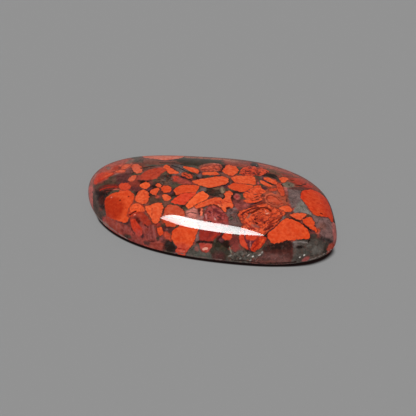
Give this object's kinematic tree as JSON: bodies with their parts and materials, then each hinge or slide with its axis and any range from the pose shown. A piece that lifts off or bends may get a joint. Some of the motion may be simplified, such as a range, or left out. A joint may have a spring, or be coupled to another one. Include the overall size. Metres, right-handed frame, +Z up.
{
  "type": "brecciated mookaite cabochon",
  "caption": "Loose oblong cabochon of polished brecciated jasper: a low dome over a thin bevelled girdle and a flat back, to be set, wrapped or glued as a gem.",
  "frame": {"origin": "middle of the flat back, under the middle of the stone's outline", "axes": "+X along the stone's longest measure, towards its blunter end; +Z up out of the dome"},
  "size_m": [0.046, 0.028, 0.0065],
  "materials": {
    "stone": "high polish on natural red jasper breccia; the flat back is satin"
  },
  "bodies": {
    "root": {"cabochon": "stone"}
  },
  "joints": []
}
